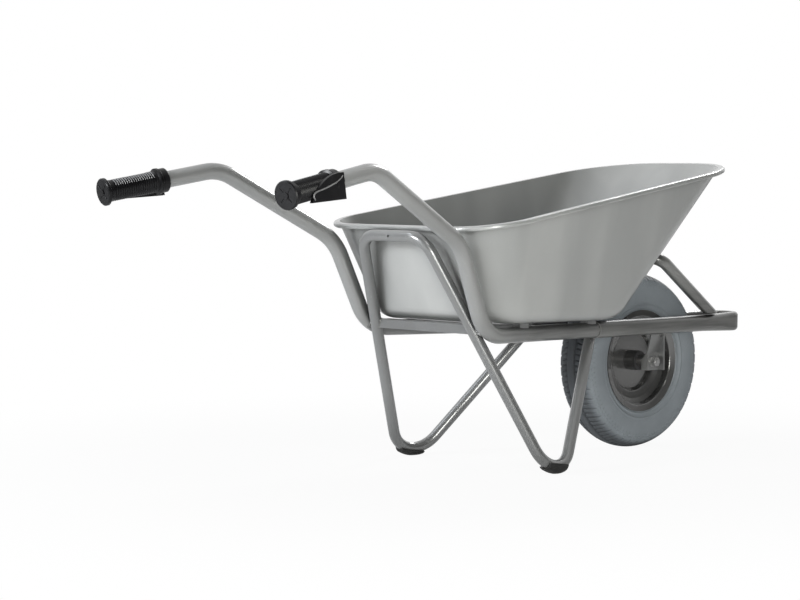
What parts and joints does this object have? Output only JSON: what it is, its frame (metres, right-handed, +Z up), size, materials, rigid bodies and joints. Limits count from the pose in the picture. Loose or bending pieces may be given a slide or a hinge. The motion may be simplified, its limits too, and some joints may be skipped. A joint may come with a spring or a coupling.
{
  "type": "wheelbarrow",
  "caption": "Single-wheel builder's barrow with a pressed grey steel tray, bent-tube frame and legs, dark ribbed grips and a pneumatic tyre on a dished steel rim",
  "frame": {"origin": "middle of the whole object's box on the ground plane", "axes": "X forward towards the wheel, Y to the left of the person pushing, Z up"},
  "size_m": [1.6084, 0.6078, 0.6372],
  "materials": {
    "grey_paint": "satin light grey enamel",
    "rim_paint": "gloss dark grey-brown enamel",
    "plated_steel": "bright zinc plate",
    "axle_steel": "turned steel",
    "tyre_rubber": "blue-grey rubber with a dull sheen",
    "tube_rubber": "plain black rubber",
    "grip_rubber": "moulded black rubber, satin",
    "shoe_rubber": "scuffed dark rubber",
    "cap_plastic": "black moulded plastic",
    "bush_plastic": "dark grey nylon"
  },
  "bodies": {
    "frame": {"left_side_tube": "grey_paint", "right_side_tube": "grey_paint", "front_hoop": "grey_paint", "leg_frame": "grey_paint", "left_foot_shoe": "shoe_rubber", "right_foot_shoe": "shoe_rubber", "front_stay": "grey_paint", "rear_cross_bar": "grey_paint", "left_axle_bracket": "grey_paint", "right_axle_bracket": "grey_paint", "tray": "grey_paint", "tray_blocks": "grey_paint", "tray_bolts": "plated_steel", "tray_washers": "plated_steel", "tray_nuts": "plated_steel", "left_grip": "grip_rubber", "right_grip": "grip_rubber", "axle_sleeve": "axle_steel", "axle_spacers": "axle_steel", "axle_washers": "plated_steel", "axle_bolt": "plated_steel", "axle_nut": "plated_steel"},
    "wheel": {"tyre": "tyre_rubber", "inner_tube": "tube_rubber", "valve_stem": "tube_rubber", "valve_cap": "cap_plastic", "left_rim_half": "rim_paint", "right_rim_half": "rim_paint", "hub_tube": "rim_paint", "left_hub_bush": "bush_plastic", "right_hub_bush": "bush_plastic"}
  },
  "joints": [
    {"name": "wheel_spin", "type": "hinge", "parent": "frame", "child": "wheel", "pos_m": [0.44937, 0, 0.195], "axis": [0, 1, 0], "continuous": true}
  ]
}
